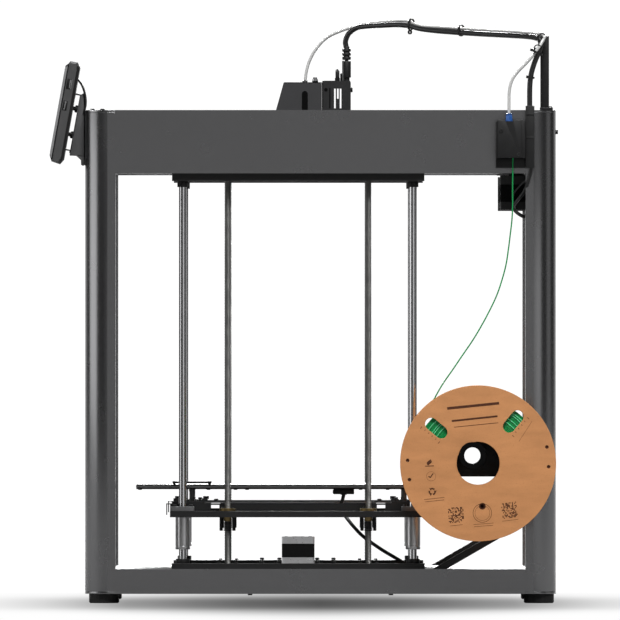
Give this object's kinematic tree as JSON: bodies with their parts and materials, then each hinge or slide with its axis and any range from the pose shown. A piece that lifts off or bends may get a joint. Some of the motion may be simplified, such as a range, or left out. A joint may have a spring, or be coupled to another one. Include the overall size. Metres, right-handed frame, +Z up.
{
  "type": "fdm printer",
  "caption": "Large open-frame FDM 3D printer with a bed that lifts on rods and lead screws, a belt-driven gantry, a tilted screen and a side-mounted filament spool.",
  "frame": {"origin": "centre of the overall box on the floor plane under the feet; the middle of the four-post frame is 0.040 m from it towards -X and 0.0217 m towards +Y, because the spool and the screen stick out", "axes": "+Z up; -Y is the front, where the screen hangs; +X is the side that carries the spool"},
  "size_m": [0.66, 0.6572, 0.761],
  "materials": {
    "frame_paint": "dark grey fine-texture powder coat",
    "black_metal": "black satin",
    "black_plastic": "matte, fine spark texture",
    "cover_plastic": "matte dark grey",
    "rubber": "matte",
    "rod_steel": "ground and polished",
    "screw_steel": "rolled thread",
    "light_steel": "satin",
    "aluminium": "satin",
    "brass": "machined",
    "glass": "glossy black cover glass",
    "grey_metal": "grey powder coat",
    "board": "solder mask",
    "tube": "translucent white",
    "fitting_blue": "moulded",
    "filament": "glossy green",
    "cardboard": null,
    "sheet": "textured coating",
    "switch_red": "moulded"
  },
  "bodies": {
    "frame": {"corner_posts": "frame_paint", "feet": "rubber", "top_beams": "frame_paint", "base_beams": "frame_paint", "base_plates": "black_metal", "rod_carriers": "black_metal", "guide_rods": "rod_steel", "stepper_motors": "black_metal", "drive_belts": "rubber", "y_rails": "light_steel", "belt_mounts": "black_metal", "power_supply": "aluminium", "mainboard": "board", "rear_braces": "black_metal", "frame_screws": "black_metal", "screen_bracket": "grey_metal", "screen_housing": "black_plastic", "screen_glass": "glass", "cable_tower": "black_metal", "umbilical_cable": "rubber", "feed_tube": "tube", "sensor_housing": "black_plastic", "feed_fitting": "fitting_blue", "spool_holder": "black_plastic", "cable_channel": "black_plastic", "filament_strand": "filament"},
    "spool": {"spool": "cardboard", "filament_winding": "filament"},
    "collet": {"feed_collet": "fitting_blue"},
    "rocker": {"power_rocker": "switch_red"},
    "bed": {"bed_frame": "black_metal", "bed_supports": "grey_metal", "bed_plate": "aluminium", "bed_bearings": "light_steel", "lead_nuts": "brass", "bed_cable": "rubber"},
    "sheet": {"build_sheet": "sheet"},
    "screw_front_right": {"lead_screw_front_right": "screw_steel"},
    "screw_front_left": {"lead_screw_front_left": "screw_steel"},
    "screw_rear_right": {"lead_screw_rear_right": "screw_steel"},
    "screw_rear_left": {"lead_screw_rear_left": "screw_steel"},
    "z_drive": {"z_pulley": "aluminium"},
    "y_drive_right": {"y_pulley_right": "aluminium"},
    "y_drive_left": {"y_pulley_left": "aluminium"},
    "y_return_right": {"y_idler_right": "aluminium"},
    "y_return_left": {"y_idler_left": "aluminium"},
    "gantry": {"gantry_beam": "black_metal", "gantry_rail": "light_steel", "y_carriages": "black_metal", "x_motor": "black_metal", "x_belt": "rubber"},
    "x_drive": {"x_pulley": "aluminium"},
    "x_return": {"x_idler": "aluminium"},
    "carriage": {"carriage_plate": "black_metal", "toolhead_cover": "cover_plastic", "toolhead_rear": "black_plastic", "extruder": "aluminium", "hotend": "light_steel"},
    "fan": {"fan_rotor": "black_plastic"},
    "feed_gear": {"extruder_gear": "brass"}
  },
  "joints": [
    {"name": "z_lift", "type": "slide", "parent": "frame", "child": "bed", "axis": [0, 0, 1], "range_m": [-0.008, 0.4]},
    {"name": "y_travel", "type": "slide", "parent": "frame", "child": "gantry", "axis": [0, 1, 0], "range_m": [-0.2, 0.2]},
    {"name": "x_travel", "type": "slide", "parent": "gantry", "child": "carriage", "axis": [1, 0, 0], "range_m": [-0.2, 0.2]},
    {"name": "sheet_pull", "type": "slide", "parent": "bed", "child": "sheet", "axis": [0, -1, 0], "range_m": [0, 0.3]},
    {"name": "spool_spin", "type": "hinge", "parent": "frame", "child": "spool", "pos_m": [0.293, 0.22485, 0.181], "axis": [1, 0, 0], "continuous": true},
    {"name": "power_toggle", "type": "hinge", "parent": "frame", "child": "rocker", "pos_m": [-0.202, 0.31965, 0.028], "axis": [1, 0, 0], "range_deg": [0, 16]},
    {"name": "collet_press", "type": "slide", "parent": "frame", "child": "collet", "axis": [0, 0, -1], "range_m": [0, 0.001]},
    {"name": "fan_spin", "type": "hinge", "parent": "carriage", "child": "fan", "pos_m": [-0.04, -0.03005, 0.612], "axis": [0, 1, 0], "continuous": true},
    {"name": "feed_spin", "type": "hinge", "parent": "carriage", "child": "feed_gear", "pos_m": [-0.04, -0.01135, 0.65], "axis": [1, 0, 0], "continuous": true},
    {"name": "screw_front_right_spin", "type": "hinge", "parent": "frame", "child": "screw_front_right", "pos_m": [0.222, -0.09845, 0.05], "axis": [0, 0, 1], "continuous": true},
    {"name": "screw_front_left_spin", "type": "hinge", "parent": "frame", "child": "screw_front_left", "pos_m": [-0.302, -0.09845, 0.05], "axis": [0, 0, 1], "continuous": true},
    {"name": "screw_rear_right_spin", "type": "hinge", "parent": "frame", "child": "screw_rear_right", "pos_m": [0.222, 0.08355, 0.05], "axis": [0, 0, 1], "continuous": true},
    {"name": "screw_rear_left_spin", "type": "hinge", "parent": "frame", "child": "screw_rear_left", "pos_m": [-0.302, 0.08355, 0.05], "axis": [0, 0, 1], "continuous": true},
    {"name": "z_drive_spin", "type": "hinge", "parent": "frame", "child": "z_drive", "pos_m": [0.222, -0.0072, 0.05], "axis": [0, 0, 1], "continuous": true},
    {"name": "y_drive_right_spin", "type": "hinge", "parent": "frame", "child": "y_drive_right", "pos_m": [0.17885, 0.2751, 0.565], "axis": [0, 0, 1], "continuous": true},
    {"name": "y_drive_left_spin", "type": "hinge", "parent": "frame", "child": "y_drive_left", "pos_m": [-0.25885, 0.2751, 0.565], "axis": [0, 0, 1], "continuous": true},
    {"name": "y_return_right_spin", "type": "hinge", "parent": "frame", "child": "y_return_right", "pos_m": [0.17885, -0.22835, 0.565], "axis": [0, 0, 1], "continuous": true},
    {"name": "y_return_left_spin", "type": "hinge", "parent": "frame", "child": "y_return_left", "pos_m": [-0.25885, -0.22835, 0.565], "axis": [0, 0, 1], "continuous": true},
    {"name": "x_drive_spin", "type": "hinge", "parent": "gantry", "child": "x_drive", "pos_m": [-0.2505, 0.05065, 0.597], "axis": [0, 1, 0], "continuous": true},
    {"name": "x_return_spin", "type": "hinge", "parent": "gantry", "child": "x_return", "pos_m": [0.182, 0.05065, 0.597], "axis": [0, 1, 0], "continuous": true}
  ],
  "couplings": [
    {"joint": "screw_front_right_spin", "follows": "z_lift", "rad_per_m": -785.4},
    {"joint": "screw_front_left_spin", "follows": "z_lift", "rad_per_m": -785.4},
    {"joint": "screw_rear_right_spin", "follows": "z_lift", "rad_per_m": -785.4},
    {"joint": "screw_rear_left_spin", "follows": "z_lift", "rad_per_m": -785.4},
    {"joint": "z_drive_spin", "follows": "z_lift", "rad_per_m": -785.4},
    {"joint": "y_drive_right_spin", "follows": "y_travel", "rad_per_m": 157.08},
    {"joint": "y_drive_left_spin", "follows": "y_travel", "rad_per_m": -157.08},
    {"joint": "y_return_right_spin", "follows": "y_travel", "rad_per_m": 157.08},
    {"joint": "y_return_left_spin", "follows": "y_travel", "rad_per_m": -157.08},
    {"joint": "x_drive_spin", "follows": "x_travel", "rad_per_m": 157.08},
    {"joint": "x_return_spin", "follows": "x_travel", "rad_per_m": 157.08}
  ]
}
